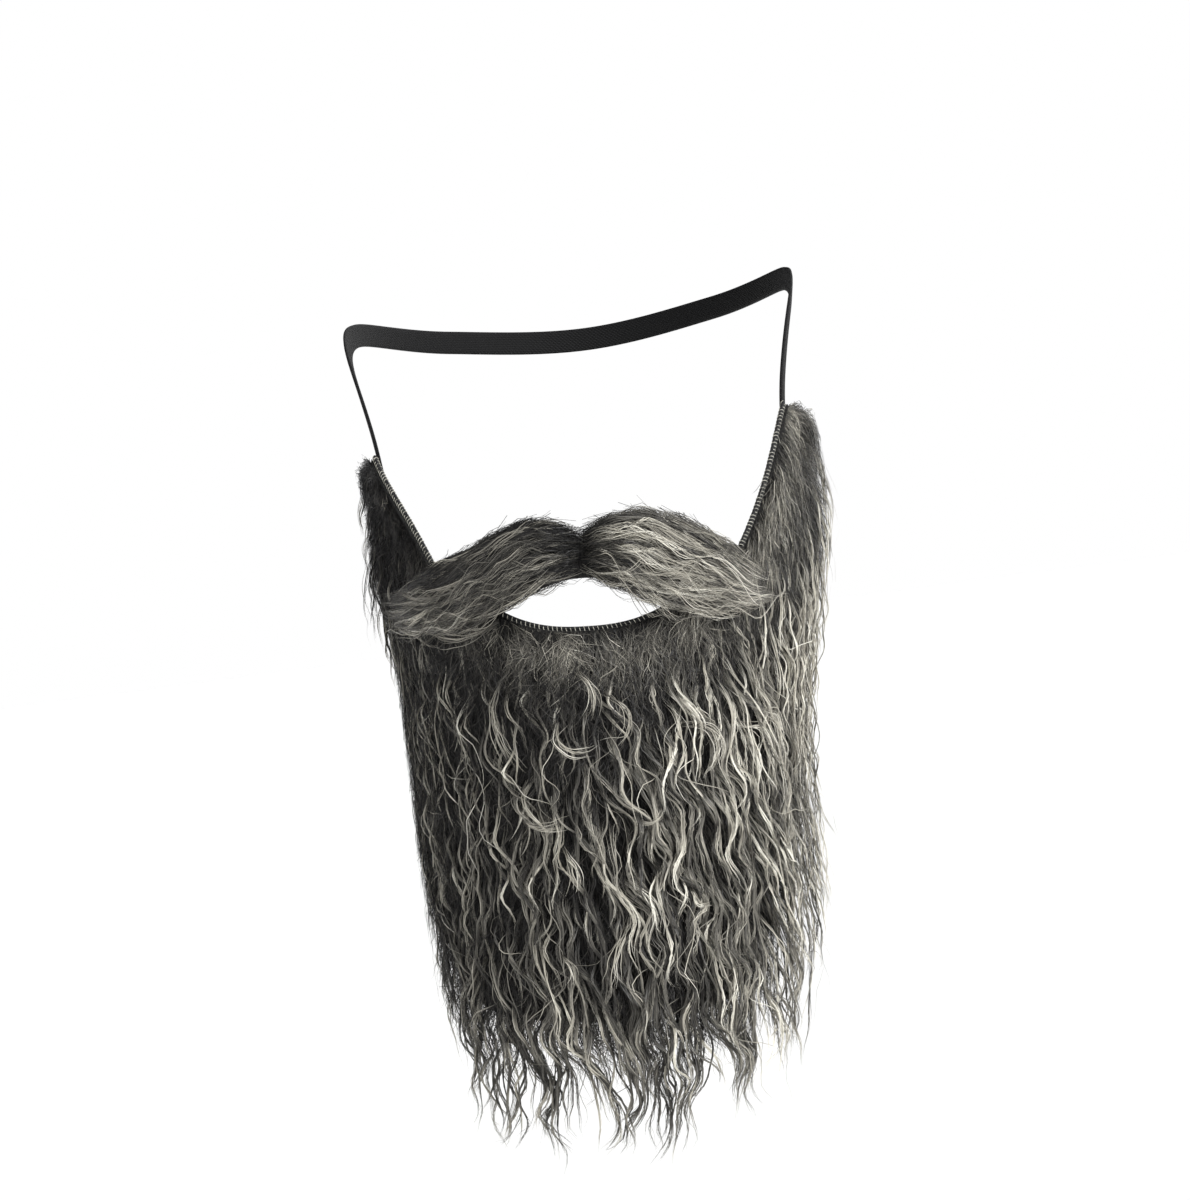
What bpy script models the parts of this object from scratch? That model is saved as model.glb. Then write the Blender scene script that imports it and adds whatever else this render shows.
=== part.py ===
"""A costume full beard with its moustache and head elastic, in the form that it has when worn.

Metres, +Z up. The beard looks along -Y and the wearer's left is +X. The origin is on the inner
face of the fabric, where it rests on the point of the chin.
"""

import math
import random
from collections import namedtuple

import bmesh
import bpy
from mathutils import Vector

# Face that the fabric follows, as half widths and depths behind the point of the chin
TEMPLE_HEIGHT = 0.125
TEMPLE_HALF_WIDTH = 0.078
EAR_HALF_WIDTH = 0.0705
EAR_DEPTH = 0.098
CHIN_HALF_WIDTH = 0.0630
CHIN_DEPTH = 0.088
BIB_HALF_WIDTH = 0.0550
BIB_DEPTH = 0.058
LIP_PROUD = 0.006
BIB_SET_BACK = 0.005
HANG_SWING = math.radians(4.2)

# Cut edges of the fabric, as heights above the point of the chin and half widths
SIDEBURN_HEIGHT = 0.081
CHEEK_CORNER_HEIGHT = 0.039
CHEEK_CORNER_HALF_WIDTH = 0.050
MOUTH_CORNER_HEIGHT = 0.022
MOUTH_HALF_WIDTH = 0.028
LIP_EDGE_HEIGHT = 0.015
UPPER_LIP_HEIGHT = 0.032
NOTCH_HEIGHT = 0.045
PEAK_HEIGHT = 0.051
BIB_DROP = 0.112
EDGE_TURN = math.radians(76)

# Layers
FABRIC_THICKNESS = 0.0015
CLEARANCE = 0.0003
PILE_DEPTH = 0.0055
PILE_EDGE_DEPTH = 0.0012
MOUSTACHE_PILE_DEPTH = 0.0045
EDGING_DIAMETER = 0.0018
ELASTIC_WIDTH = 0.008
ELASTIC_THICKNESS = 0.0012
ELASTIC_SEWN_LENGTH = 0.014

# Locks of the pile
LOCK_WIDTH = 0.0115
LOCK_THICKNESS = 0.0070
LOCK_LENGTH = 0.044
LOCK_PITCH = 0.0150
LOCK_ROW_PITCH = 0.0230
LOCK_WAVE = 0.0034
LOCK_WAVE_LENGTH = 0.034
LOCK_STAND = 0.0085
TIP_LENGTH = 0.032
WING_HALF_SPAN = 0.0635
WING_LOCK_WIDTH = 0.0070
WING_LOCK_THICKNESS = 0.0055
WING_STAND = 0.0065
SKIN_GRAIN = 0.0010
BEARD_FUR_FACES = 7800
MOUSTACHE_FUR_FACES = 2000

FaceRow = namedtuple("FaceRow", "height half_width side_depth front")
FACE_ROWS = (
    FaceRow(-BIB_DROP, BIB_HALF_WIDTH, BIB_DEPTH, BIB_SET_BACK),
    FaceRow(0.0, CHIN_HALF_WIDTH, CHIN_DEPTH, 0.0),
    FaceRow(CHEEK_CORNER_HEIGHT, 0.98 * EAR_HALF_WIDTH, EAR_DEPTH, -LIP_PROUD),
    FaceRow(SIDEBURN_HEIGHT, EAR_HALF_WIDTH, EAR_DEPTH, -LIP_PROUD),
    FaceRow(TEMPLE_HEIGHT, TEMPLE_HALF_WIDTH, EAR_DEPTH, -LIP_PROUD),
)

# Outer cut edge from the middle of the bib to the sideburn's tip. along is the share of the way,
# drop a share of BIB_DROP below the chin and rise a share of SIDEBURN_HEIGHT above it.
OuterRow = namedtuple("OuterRow", "along turn_deg drop rise")
OUTER_ROWS = (
    OuterRow(0.00, 0, 1.00, 0.0),
    OuterRow(0.15, 24, 0.99, 0.0),
    OuterRow(0.27, 45, 0.95, 0.0),
    OuterRow(0.35, 60, 0.83, 0.0),
    OuterRow(0.43, 71, 0.63, 0.0),
    OuterRow(0.52, 80, 0.40, 0.0),
    OuterRow(0.62, 87, 0.14, 0.0),
    OuterRow(0.75, 92, 0.0, 0.16),
    OuterRow(0.88, 94, 0.0, 0.52),
    OuterRow(1.00, 90, 0.0, 0.92),
)
FRINGE_ALONG = 0.50

# Columns that the fabric is divided into from the middle to each sideburn's tip, with the ones
# that lie on the mouth's corner and on the cheek's corner
HALF_COLUMNS = 16
MOUTH_COLUMN = 5
CHEEK_COLUMN = 7
FABRIC_ROWS = 6
MOUTH_ALONG = MOUTH_COLUMN / HALF_COLUMNS
CHEEK_ALONG = CHEEK_COLUMN / HALF_COLUMNS

# Outline of one wing of the moustache from the parting out. reach is a share of WING_HALF_SPAN,
# low and high are shares of PEAK_HEIGHT.
WingRow = namedtuple("WingRow", "reach low high")
WING_ROWS = (
    WingRow(0.03, 0.59, 0.90),
    WingRow(0.14, 0.55, 0.97),
    WingRow(0.25, 0.50, 1.00),
    WingRow(0.39, 0.41, 0.97),
    WingRow(0.58, 0.34, 0.87),
    WingRow(0.79, 0.35, 0.72),
    WingRow(0.90, 0.39, 0.58),
    WingRow(1.00, 0.42, 0.46),
)

# Run of the elastic from its sewn end, with one row past the back of the head. rise is a share
# of the way up from the sewn end to TEMPLE_HEIGHT.
ElasticRow = namedtuple("ElasticRow", "turn_deg rise")
ELASTIC_ROWS = (
    ElasticRow(80, 0.00),
    ElasticRow(81, 0.45),
    ElasticRow(88, 0.82),
    ElasticRow(106, 1.00),
    ElasticRow(142, 0.93),
    ElasticRow(180, 0.86),
    ElasticRow(218, 0.93),
)

PILE_FLOOR = FABRIC_THICKNESS + CLEARANCE


def smooth(places, values, at):
    """The value at a place on a smooth curve through values, which goes on straight past its ends."""
    last = len(places) - 1
    slopes = []
    for i in range(last + 1):
        before, after = max(i - 1, 0), min(i + 1, last)
        slopes.append((values[after] - values[before]) / (places[after] - places[before]))
    if at <= places[0]:
        return values[0] + slopes[0] * (at - places[0])
    if at >= places[last]:
        return values[last] + slopes[last] * (at - places[last])
    i = next(k for k in range(last) if at <= places[k + 1])
    span = places[i + 1] - places[i]
    q = (at - places[i]) / span
    return (
        values[i] * (1 - q) ** 2 * (1 + 2 * q)
        + values[i + 1] * q * q * (3 - 2 * q)
        + span * q * (1 - q) * (slopes[i] * (1 - q) - slopes[i + 1] * q)
    )


def column(rows, name):
    return [getattr(row, name) for row in rows]


def read_row(rows, at):
    """The row at a place between rows, which are ordered by their first value."""
    names = rows[0]._fields
    places = column(rows, names[0])
    return type(rows[0])(at, *[smooth(places, column(rows, name), at) for name in names[1:]])


def swung(point):
    """The point after the hanging beard has turned a little about the notch of the moustache."""
    blend = (SIDEBURN_HEIGHT - point.z) / (SIDEBURN_HEIGHT - CHEEK_CORNER_HEIGHT)
    blend = min(max(blend, 0.0), 1.0)
    angle = HANG_SWING * blend * blend * (3 - 2 * blend)
    above = point.z - NOTCH_HEIGHT
    return Vector(
        (
            point.x * math.cos(angle) + above * math.sin(angle),
            point.y,
            NOTCH_HEIGHT + above * math.cos(angle) - point.x * math.sin(angle),
        )
    )


def skin_point(turn, height):
    """The face's surface. turn is 0 at the front and a quarter turn at the ears."""
    row = read_row(FACE_ROWS, height)
    depth = row.side_depth - (row.side_depth - row.front) * math.cos(turn)
    return swung(Vector((row.half_width * math.sin(turn), depth, height)))


def skin_axes(turn, height):
    """Across, up and outward at a point of the face. The first keeps its length, for each radian."""
    step = 1e-4
    across = (skin_point(turn + step, height) - skin_point(turn - step, height)) / (2 * step)
    up = (skin_point(turn, height + step) - skin_point(turn, height - step)).normalized()
    return across, up, across.cross(up).normalized()


def lifted(turn, height, lift):
    return skin_point(turn, height) + skin_axes(turn, height)[2] * lift


def turn_at(half_width, height, lift=0.0):
    """The turn at which a point lifted off the face stands half_width out from its middle."""
    return math.asin(min(half_width / (read_row(FACE_ROWS, height).half_width + lift), 1.0))


def seam_point(share, shift=0.0):
    """Turn and height on the seam between beard and moustache, share 0 at the mouth's corner."""
    height = MOUTH_CORNER_HEIGHT + (CHEEK_CORNER_HEIGHT - MOUTH_CORNER_HEIGHT) * share
    half_width = MOUTH_HALF_WIDTH + (CHEEK_CORNER_HALF_WIDTH - MOUTH_HALF_WIDTH) * share
    return turn_at(half_width - shift, height), height


def inner_edge(along):
    """Turn and height of the lip, seam and cheek edge, from the middle to the sideburn's tip."""
    if along <= MOUTH_ALONG:
        share = along / MOUTH_ALONG
        height = LIP_EDGE_HEIGHT + (MOUTH_CORNER_HEIGHT - LIP_EDGE_HEIGHT) * share**2.5
        return turn_at(MOUTH_HALF_WIDTH * share, height), height
    if along <= CHEEK_ALONG:
        return seam_point((along - MOUTH_ALONG) / (CHEEK_ALONG - MOUTH_ALONG))
    share = (along - CHEEK_ALONG) / (1 - CHEEK_ALONG)
    height = CHEEK_CORNER_HEIGHT + (SIDEBURN_HEIGHT - CHEEK_CORNER_HEIGHT) * share
    start = turn_at(CHEEK_CORNER_HALF_WIDTH, CHEEK_CORNER_HEIGHT)
    return start + (EDGE_TURN - start) * (0.75 * share + 0.25 * share**2), height


def outer_edge(along):
    row = read_row(OUTER_ROWS, along)
    return math.radians(row.turn_deg), row.rise * SIDEBURN_HEIGHT - row.drop * BIB_DROP


def beard_place(across, up):
    """Turn and height on the beard's cut, across from -1 to 1 and up from 0 at the outer edge."""
    inner, outer = inner_edge(abs(across)), outer_edge(abs(across))
    turn = outer[0] + (inner[0] - outer[0]) * up
    return math.copysign(turn, across), outer[1] + (inner[1] - outer[1]) * up


def moustache_place(across, up):
    """Turn and height on the moustache's strip, which ends short of the seams by the clearance."""
    run = CHEEK_CORNER_HALF_WIDTH - MOUTH_HALF_WIDTH
    rise = CHEEK_CORNER_HEIGHT - MOUTH_CORNER_HEIGHT
    shift = 1.5 * CLEARANCE * math.hypot(run, rise) / rise
    low_turn, low = seam_point(0.0, shift)
    high_turn, high = seam_point(1.0, shift)
    bottom = low + (UPPER_LIP_HEIGHT - low) * (1 - across**2) ** 0.8
    shoulder = 0.45 * PEAK_HEIGHT + 0.55 * high
    top = smooth((0.0, 0.30, 0.62, 1.0), (NOTCH_HEIGHT, PEAK_HEIGHT, shoulder, high), abs(across))
    turn = low_turn + (high_turn - low_turn) * up
    return turn * across, bottom + (top - bottom) * up


def fullness(turn):
    """How deep the pile is at a turn: all of it at the front and about half at the ears."""
    return 1.0 - 0.45 * math.sin(turn) ** 2


def under_wing(turn, height):
    """Whether a wing of the moustache lies over this place."""
    return height > 0.22 * PEAK_HEIGHT and math.sin(abs(turn)) < 0.88


def edge_rise(share, reach):
    """0 at an edge and 1 from reach inwards, round like the edge of a pad."""
    q = min(max(share / reach, 0.0), 1.0)
    return math.sqrt(q * (2 - q))


def beard_pile_top(across, up):
    turn, height = beard_place(across, up)
    depth = PILE_DEPTH * fullness(turn) * (0.55 if under_wing(turn, height) else 1.0)
    rise = edge_rise(up, 0.22) * edge_rise(1 - up, 0.22) * edge_rise(1 - abs(across), 0.08)
    return PILE_FLOOR + PILE_EDGE_DEPTH + max(depth - PILE_EDGE_DEPTH, 0.0) * rise


def moustache_pile_top(across, up):
    rise = edge_rise(up, 0.35) * edge_rise(1 - up, 0.35) * edge_rise(1 - abs(across), 0.15)
    return PILE_FLOOR + PILE_EDGE_DEPTH + (MOUSTACHE_PILE_DEPTH - PILE_EDGE_DEPTH) * rise


def material(name, colour, roughness):
    made = bpy.data.materials.new(name)
    made.use_nodes = True
    shader = made.node_tree.nodes["Principled BSDF"]
    shader.inputs["Base Color"].default_value = (*colour, 1.0)
    shader.inputs["Roughness"].default_value = roughness
    shader.inputs["Metallic"].default_value = 0.0
    return made


def finish(bm, name, stuff):
    """An object from a closed shape, smooth except at its cut edges."""
    mesh = bpy.data.meshes.new(name)
    bm.to_mesh(mesh)
    bm.free()
    if stuff:
        mesh.materials.append(stuff)
    mesh.shade_smooth()
    mesh.set_sharp_from_angle(angle=math.radians(50))
    made = bpy.data.objects.new(name, mesh)
    bpy.context.scene.collection.objects.link(made)
    return made


def bent_slab(columns, rows, place):
    """A flat slab bent into form. place takes across (-1 to 1), up (0 to 1) and layer (0 or 1)."""
    bm = bmesh.new()
    bmesh.ops.create_grid(bm, x_segments=columns, y_segments=rows, size=1)
    raised = bmesh.ops.extrude_face_region(bm, geom=bm.faces[:])
    for part in raised["geom"]:
        if isinstance(part, bmesh.types.BMVert):
            part.co.z = 1.0
    bmesh.ops.recalc_face_normals(bm, faces=bm.faces)
    for vertex in bm.verts:
        across, up, layer = vertex.co
        vertex.co = place(across, (up + 1) / 2, layer)
    if bm.calc_volume(signed=True) < 0:
        bmesh.ops.reverse_faces(bm, faces=bm.faces)
    return bm


def tube(points, axes, sides, half_sizes):
    """A closed tube. axes has each ring's two directions and half_sizes its two radii."""
    bm = bmesh.new()
    rings = []
    for point, (wide, deep), (half_width, half_depth) in zip(points, axes, half_sizes):
        ring = bmesh.ops.create_circle(bm, segments=sides, radius=1.0)["verts"]
        for vertex in ring:
            x, y, _ = vertex.co
            vertex.co = point + wide * (x * half_width) + deep * (y * half_depth)
        rings.append(ring)
    for near, far in zip(rings, rings[1:]):
        for i in range(sides):
            k = (i + 1) % sides
            bm.faces.new((near[i], near[k], far[k], far[i]))
    bm.faces.new(rings[0])
    bm.faces.new(rings[-1])
    bmesh.ops.recalc_face_normals(bm, faces=bm.faces)
    return bm


def lock(path, width, thickness):
    """One tapered lock of pile through (turn, height, lift) places, flat against the face."""
    points = [lifted(*place) for place in path]
    last = len(points) - 1
    axes, half_sizes = [], []
    for i, (turn, height, _) in enumerate(path):
        along = (points[min(i + 1, last)] - points[max(i - 1, 0)]).normalized()
        wide = along.cross(skin_axes(turn, height)[2]).normalized()
        axes.append((wide, wide.cross(along)))
        body = max(math.sin(math.pi * (0.22 + 0.75 * i / last)) ** 0.8, 0.12)
        half_sizes.append((width / 2 * body, thickness / 2 * body))
    return tube(points, axes, 5, half_sizes)


def shells(bm):
    """The groups of faces that hang together through edges, the largest first."""
    waiting = set(bm.faces)
    found = []
    while waiting:
        shell, ends = [], [waiting.pop()]
        while ends:
            face = ends.pop()
            shell.append(face)
            for edge in face.edges:
                for other in edge.link_faces:
                    if other in waiting:
                        waiting.discard(other)
                        ends.append(other)
        found.append(shell)
    return sorted(found, key=len, reverse=True)


def evaluated(source):
    """The object's shape with its modifier applied, and the object removed."""
    bm = bmesh.new()
    bm.from_object(source, bpy.context.evaluated_depsgraph_get())
    bpy.data.objects.remove(source)
    return bm


def grown_together(name, base, locks, faces, stuff):
    """The pile base and its locks under one closed skin of about this many faces."""
    for bm in locks:
        mesh = bpy.data.meshes.new("lock")
        bm.to_mesh(mesh)
        bm.free()
        base.from_mesh(mesh)
        bpy.data.meshes.remove(mesh)
    parts = finish(base, name, None)
    skin = parts.modifiers.new("skin", "REMESH")
    skin.mode = "VOXEL"
    skin.voxel_size = SKIN_GRAIN
    whole = evaluated(parts)
    for shell in shells(whole)[1:]:
        bmesh.ops.delete(whole, geom=shell, context="FACES")
    bmesh.ops.triangulate(whole, faces=whole.faces)
    fine = finish(whole, name, None)
    fewer = fine.modifiers.new("fewer", "DECIMATE")
    fewer.ratio = min(faces / len(fine.data.polygons), 1.0)
    return finish(evaluated(fine), name, stuff)


def hanging_lock(turn, height, length, width, chance):
    """A lock that starts in the pile base and hangs down with a wave."""
    full = fullness(turn)
    stand = LOCK_STAND * (full - fullness(math.pi / 2)) / (1.0 - fullness(math.pi / 2))
    phase = chance.random()
    steps = 5
    path = []
    for i in range(steps + 1):
        share = i / steps
        wave = math.sin(2 * math.pi * (length * share / LOCK_WAVE_LENGTH + phase))
        sway = LOCK_WAVE * wave * share**0.5
        here = height - length * share
        out = stand * math.sin(math.pi * share**0.7) ** 0.8
        lift = PILE_FLOOR + PILE_DEPTH * full * 0.6 + out
        path.append((turn + sway / skin_axes(turn, here)[0].length, here, lift))
    return lock(path, width, LOCK_THICKNESS * full)


def turn_of_edge(edge, height):
    """The turn at which an edge that climbs from the middle to the side reaches a height."""
    low, high = 0.0, 1.0
    for _ in range(30):
        middle = (low + high) / 2
        if edge(middle)[1] < height:
            low = middle
        else:
            high = middle
    return edge(low)[0]


def beard_locks():
    """Rows of locks from the sideburns down to the bib, which leave room for the wings."""
    chance = random.Random(7)
    made = []
    height = SIDEBURN_HEIGHT - LOCK_WIDTH
    stagger = 0
    while height > LOCK_WIDTH - BIB_DROP:
        outer = turn_of_edge(outer_edge, height)
        inner = turn_of_edge(inner_edge, height) if height > LIP_EDGE_HEIGHT else None
        radian = skin_axes(outer / 2, height)[0].length
        margin = 0.4 * LOCK_WIDTH / radian
        if inner is None:
            start = (0.5 * LOCK_PITCH / radian) if stagger else 0.0
        else:
            start = inner + margin
        end = outer - margin
        count = max(round((end - start) * radian / LOCK_PITCH), 1)
        room = height + BIB_DROP + TIP_LENGTH
        for i in range(count + 1):
            turn = start + (end - start) * i / count
            if under_wing(turn, height):
                continue
            for side in (1, -1) if turn > 0 else (1,):
                length = min(LOCK_LENGTH, room) * chance.uniform(0.88, 1.08)
                width = LOCK_WIDTH * chance.uniform(0.88, 1.12)
                made.append(hanging_lock(side * turn, height, length, width, chance))
        stagger = 1 - stagger
        height -= LOCK_ROW_PITCH
    return made


def fringe_locks():
    """Long tapering tips along the outer edge of the bib, shorter towards its sides."""
    chance = random.Random(11)
    made = []
    steps = 60
    walked = LOCK_PITCH
    previous = skin_point(*outer_edge(FRINGE_ALONG))
    for i in range(-steps, steps + 1):
        share = abs(i) / steps
        turn, height = outer_edge(FRINGE_ALONG * share)
        turn = math.copysign(turn, i)
        here = skin_point(turn, height)
        walked += (here - previous).length
        previous = here
        if walked < LOCK_PITCH:
            continue
        walked = 0.0
        inset = 0.4 * LOCK_WIDTH
        length = inset + TIP_LENGTH * (1.02 - 0.25 * share) * chance.uniform(0.85, 1.05)
        made.append(hanging_lock(turn, height + inset, length, 0.9 * LOCK_WIDTH, chance))
    return made


def wing_locks():
    """Locks that sweep from the parting out over both cheeks, in bands from top to bottom."""
    chance = random.Random(5)
    made = []
    bands, ranks, steps = 4, 3, 6
    for side in (1, -1):
        for band in range(bands):
            up = (band + 0.5) / bands
            for rank in range(ranks):
                start = 0.05 + 0.19 * rank
                reach = (0.60, 0.82, 1.0)[rank] * (1.0 - 0.06 * chance.random())
                phase = chance.random()
                path = []
                for i in range(steps + 1):
                    share = i / steps
                    row = read_row(WING_ROWS, start + (reach - start) * share)
                    wave = 0.02 * math.sin(2 * math.pi * (share + phase)) * share
                    inside = 0.12 + 0.76 * up
                    height = PEAK_HEIGHT * (row.low + (row.high - row.low) * inside + wave)
                    rise = min(3.0 * share, 1.0) + 0.25 * math.sin(math.pi * share)
                    lift = PILE_FLOOR + 0.4 * MOUSTACHE_PILE_DEPTH + WING_STAND * rise
                    turn = turn_at(row.reach * WING_HALF_SPAN, height, lift)
                    path.append((side * turn, height, lift))
                made.append(lock(path, WING_LOCK_WIDTH, WING_LOCK_THICKNESS))
    return made


def edging(name, first, last, stuff):
    """A roll of thread laid against the inner cut edge, from one column of the fabric to another."""
    radius = EDGING_DIAMETER / 2
    places = [beard_place(i / HALF_COLUMNS, 1.0) for i in range(first, last + 1)]
    edge = [lifted(turn, height, FABRIC_THICKNESS / 2) for turn, height in places]
    edge[0], edge[-1] = edge[0].lerp(edge[1], 0.3), edge[-1].lerp(edge[-2], 0.3)
    points, axes = [], []
    for i, (turn, height) in enumerate(places):
        along = (edge[min(i + 1, len(edge) - 1)] - edge[max(i - 1, 0)]).normalized()
        outward = skin_axes(turn, height)[2]
        away = outward.cross(along).normalized()
        points.append(edge[i] + away * (radius + CLEARANCE))
        axes.append((away, outward))
    return finish(tube(points, axes, 6, [(radius, radius)] * len(points)), name, stuff)


def make_beard_backing(stuff):
    def place(across, up, layer):
        return lifted(*beard_place(across, up), FABRIC_THICKNESS * layer)

    return finish(bent_slab(2 * HALF_COLUMNS, FABRIC_ROWS, place), "beard_backing", stuff)


def make_beard_fur(stuff):
    def place(across, up, layer):
        lift = beard_pile_top(across, up) if layer else PILE_FLOOR
        return lifted(*beard_place(across, up), lift)

    base = bent_slab(2 * HALF_COLUMNS, FABRIC_ROWS, place)
    return grown_together("beard_fur", base, beard_locks() + fringe_locks(), BEARD_FUR_FACES, stuff)


def make_moustache_backing(stuff):
    def place(across, up, layer):
        return lifted(*moustache_place(across, up), FABRIC_THICKNESS * layer)

    return finish(bent_slab(14, 2, place), "moustache_backing", stuff)


def make_moustache_fur(stuff):
    def place(across, up, layer):
        lift = moustache_pile_top(across, up) if layer else PILE_FLOOR
        return lifted(*moustache_place(across, up), lift)

    base = bent_slab(14, 4, place)
    return grown_together("moustache_fur", base, wing_locks(), MOUSTACHE_FUR_FACES, stuff)


def make_edgings(stuff):
    """The overlocked rolls of both cheek edges and of the edge under the lip."""
    edging("cheek_edging_left", CHEEK_COLUMN, HALF_COLUMNS, stuff)
    edging("cheek_edging_right", -HALF_COLUMNS, -CHEEK_COLUMN, stuff)
    edging("lip_edging", -MOUTH_COLUMN, MOUTH_COLUMN, stuff)


def elastic_place(share):
    """Turn and height of the elastic's middle, share 0 at its sewn end and 1 behind the head."""
    gaps = len(ELASTIC_ROWS) - 2
    shares = [i / gaps for i in range(len(ELASTIC_ROWS))]
    start = SIDEBURN_HEIGHT - ELASTIC_SEWN_LENGTH
    rise = smooth(shares, column(ELASTIC_ROWS, "rise"), share)
    turn = smooth(shares, column(ELASTIC_ROWS, "turn_deg"), share)
    return math.radians(turn), start + rise * (TEMPLE_HEIGHT - start)


def make_head_elastic(stuff):
    def place(across, up, layer):
        side, share = math.copysign(1, across), 1 - abs(across)
        (turn, height), ahead = elastic_place(share), elastic_place(share + 0.004)
        along = skin_point(side * ahead[0], ahead[1]) - skin_point(side * turn, height)
        outward = skin_axes(side * turn, height)[2]
        wide = outward.cross(along).normalized() * side
        depth = CLEARANCE + ELASTIC_THICKNESS * layer
        return lifted(side * turn, height, -depth) + wide * ((up - 0.5) * ELASTIC_WIDTH)

    return finish(bent_slab(52, 1, place), "head_elastic", stuff)


def build():
    for old in list(bpy.data.objects):
        bpy.data.objects.remove(old)
    knit = material("knitted_backing", (0.035, 0.035, 0.037), 0.95)
    pile = material("grey_pile", (0.12, 0.12, 0.115), 0.85)
    pale_pile = material("pale_pile", (0.24, 0.24, 0.225), 0.85)
    thread = material("overlock_thread", (0.03, 0.03, 0.03), 0.9)
    woven = material("black_elastic", (0.008, 0.008, 0.009), 0.7)
    make_beard_backing(knit)
    make_beard_fur(pile)
    make_moustache_backing(knit)
    make_moustache_fur(pale_pile)
    make_edgings(thread)
    make_head_elastic(woven)


build()
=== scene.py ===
"""The looks of a costume beard: knitted backing, undercoat, wavy locks, moustache and elastic."""

import math

import bmesh
import bpy
import numpy as np
from mathutils import Matrix, Vector


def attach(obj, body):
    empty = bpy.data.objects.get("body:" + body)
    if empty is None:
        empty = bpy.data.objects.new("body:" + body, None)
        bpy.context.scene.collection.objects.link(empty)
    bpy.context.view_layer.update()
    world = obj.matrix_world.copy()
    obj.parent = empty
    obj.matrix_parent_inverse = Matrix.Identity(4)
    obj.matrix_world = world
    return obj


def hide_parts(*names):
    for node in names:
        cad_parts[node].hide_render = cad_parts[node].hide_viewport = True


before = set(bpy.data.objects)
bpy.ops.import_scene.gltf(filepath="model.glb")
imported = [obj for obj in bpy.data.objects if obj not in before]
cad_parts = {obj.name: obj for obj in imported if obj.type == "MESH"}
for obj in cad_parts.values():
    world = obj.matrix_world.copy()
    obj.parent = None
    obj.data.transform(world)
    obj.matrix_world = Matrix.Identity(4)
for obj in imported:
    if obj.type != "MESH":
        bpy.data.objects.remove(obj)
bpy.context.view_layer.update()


def linked(name, data):
    """A new object in the scene."""
    made = bpy.data.objects.new(name, data)
    bpy.context.scene.collection.objects.link(made)
    return made


# --- The camera ---
# A long lens, level with the lip edge and a little to one side. The beard hangs tilted in the
# picture, so the camera is rolled the other way.

CAMERA_DISTANCE = 1.9
CAMERA_TURN = math.radians(3.0)
CAMERA_ROLL = math.radians(7.5)
PICTURE_WIDTH = 0.384
ORIGIN_IN_PICTURE = (0.0014, -0.0242)

level = Vector((math.cos(CAMERA_TURN), math.sin(CAMERA_TURN), 0))
plumb = Vector((0, 0, 1))
right = level * math.cos(CAMERA_ROLL) - plumb * math.sin(CAMERA_ROLL)
upward = level * math.sin(CAMERA_ROLL) + plumb * math.cos(CAMERA_ROLL)
towards = right.cross(upward)
middle = -right * ORIGIN_IN_PICTURE[0] - upward * ORIGIN_IN_PICTURE[1]

lens = bpy.data.cameras.new("camera")
lens.sensor_fit = "HORIZONTAL"
lens.sensor_width = 36
lens.lens = 36 * CAMERA_DISTANCE / PICTURE_WIDTH
camera = linked("camera", lens)
camera.matrix_world = Matrix.Translation(middle + towards * CAMERA_DISTANCE) @ Matrix(
    (right, upward, towards)
).transposed().to_4x4()
bpy.context.scene.camera = camera


# --- The knitted backing of the beard ---
# One horseshoe of warp-knitted polyester, with a dip at the lip edge, a seam on both sides of it,
# two sloping cheek edges and a bib that hangs below. It is 1.5 mm thick and shows its loops behind.

# Soft fabric has no form of its own, so it lies on a maker's block, and every piece below is placed
# by a turn round the block, a height and a lift off it. The turn is 0 at the front.
SIDEBURN_HEIGHT = 0.081
CHEEK_CORNER = (0.050, 0.039)
OPENING_CORNER = (0.028, 0.022)
LIP_EDGE_HEIGHT = 0.015
UPPER_LIP_HEIGHT = 0.032
NOTCH_HEIGHT = 0.045
PEAK_HEIGHT = 0.051
BIB_DROP = 0.112
EDGE_TURN = math.radians(76)
HANG_SWING = math.radians(4.2)
TEMPLE_HEIGHT = 0.125
BLOCK_HEIGHTS = (-BIB_DROP, 0.0, CHEEK_CORNER[1], SIDEBURN_HEIGHT, TEMPLE_HEIGHT)
BLOCK_HALF_WIDTHS = (0.055, 0.063, 0.0691, 0.0705, 0.078)
BLOCK_SIDE_DEPTHS = (0.058, 0.088, 0.098, 0.098, 0.098)
BLOCK_FRONTS = (0.005, 0.0, -0.006, -0.006, -0.006)
NUDGE = 1e-4


def through(places, values, at):
    """A smooth curve through values, read at an array of places, straight past its ends."""
    places, values, at = np.asarray(places), np.asarray(values), np.asarray(at, float)
    last = len(places) - 1
    after = np.minimum(np.arange(last + 1) + 1, last)
    before = np.maximum(np.arange(last + 1) - 1, 0)
    slope = (values[after] - values[before]) / (places[after] - places[before])
    i = np.clip(np.searchsorted(places, at) - 1, 0, last - 1)
    span = places[i + 1] - places[i]
    q = np.clip((at - places[i]) / span, 0, 1)
    inside = (
        values[i] * (1 - q) ** 2 * (1 + 2 * q)
        + values[i + 1] * q**2 * (3 - 2 * q)
        + span * q * (1 - q) * (slope[i] * (1 - q) - slope[i + 1] * q)
    )
    below = slope[0] * np.minimum(at - places[0], 0)
    return inside + below + slope[last] * np.maximum(at - places[last], 0)


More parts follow.
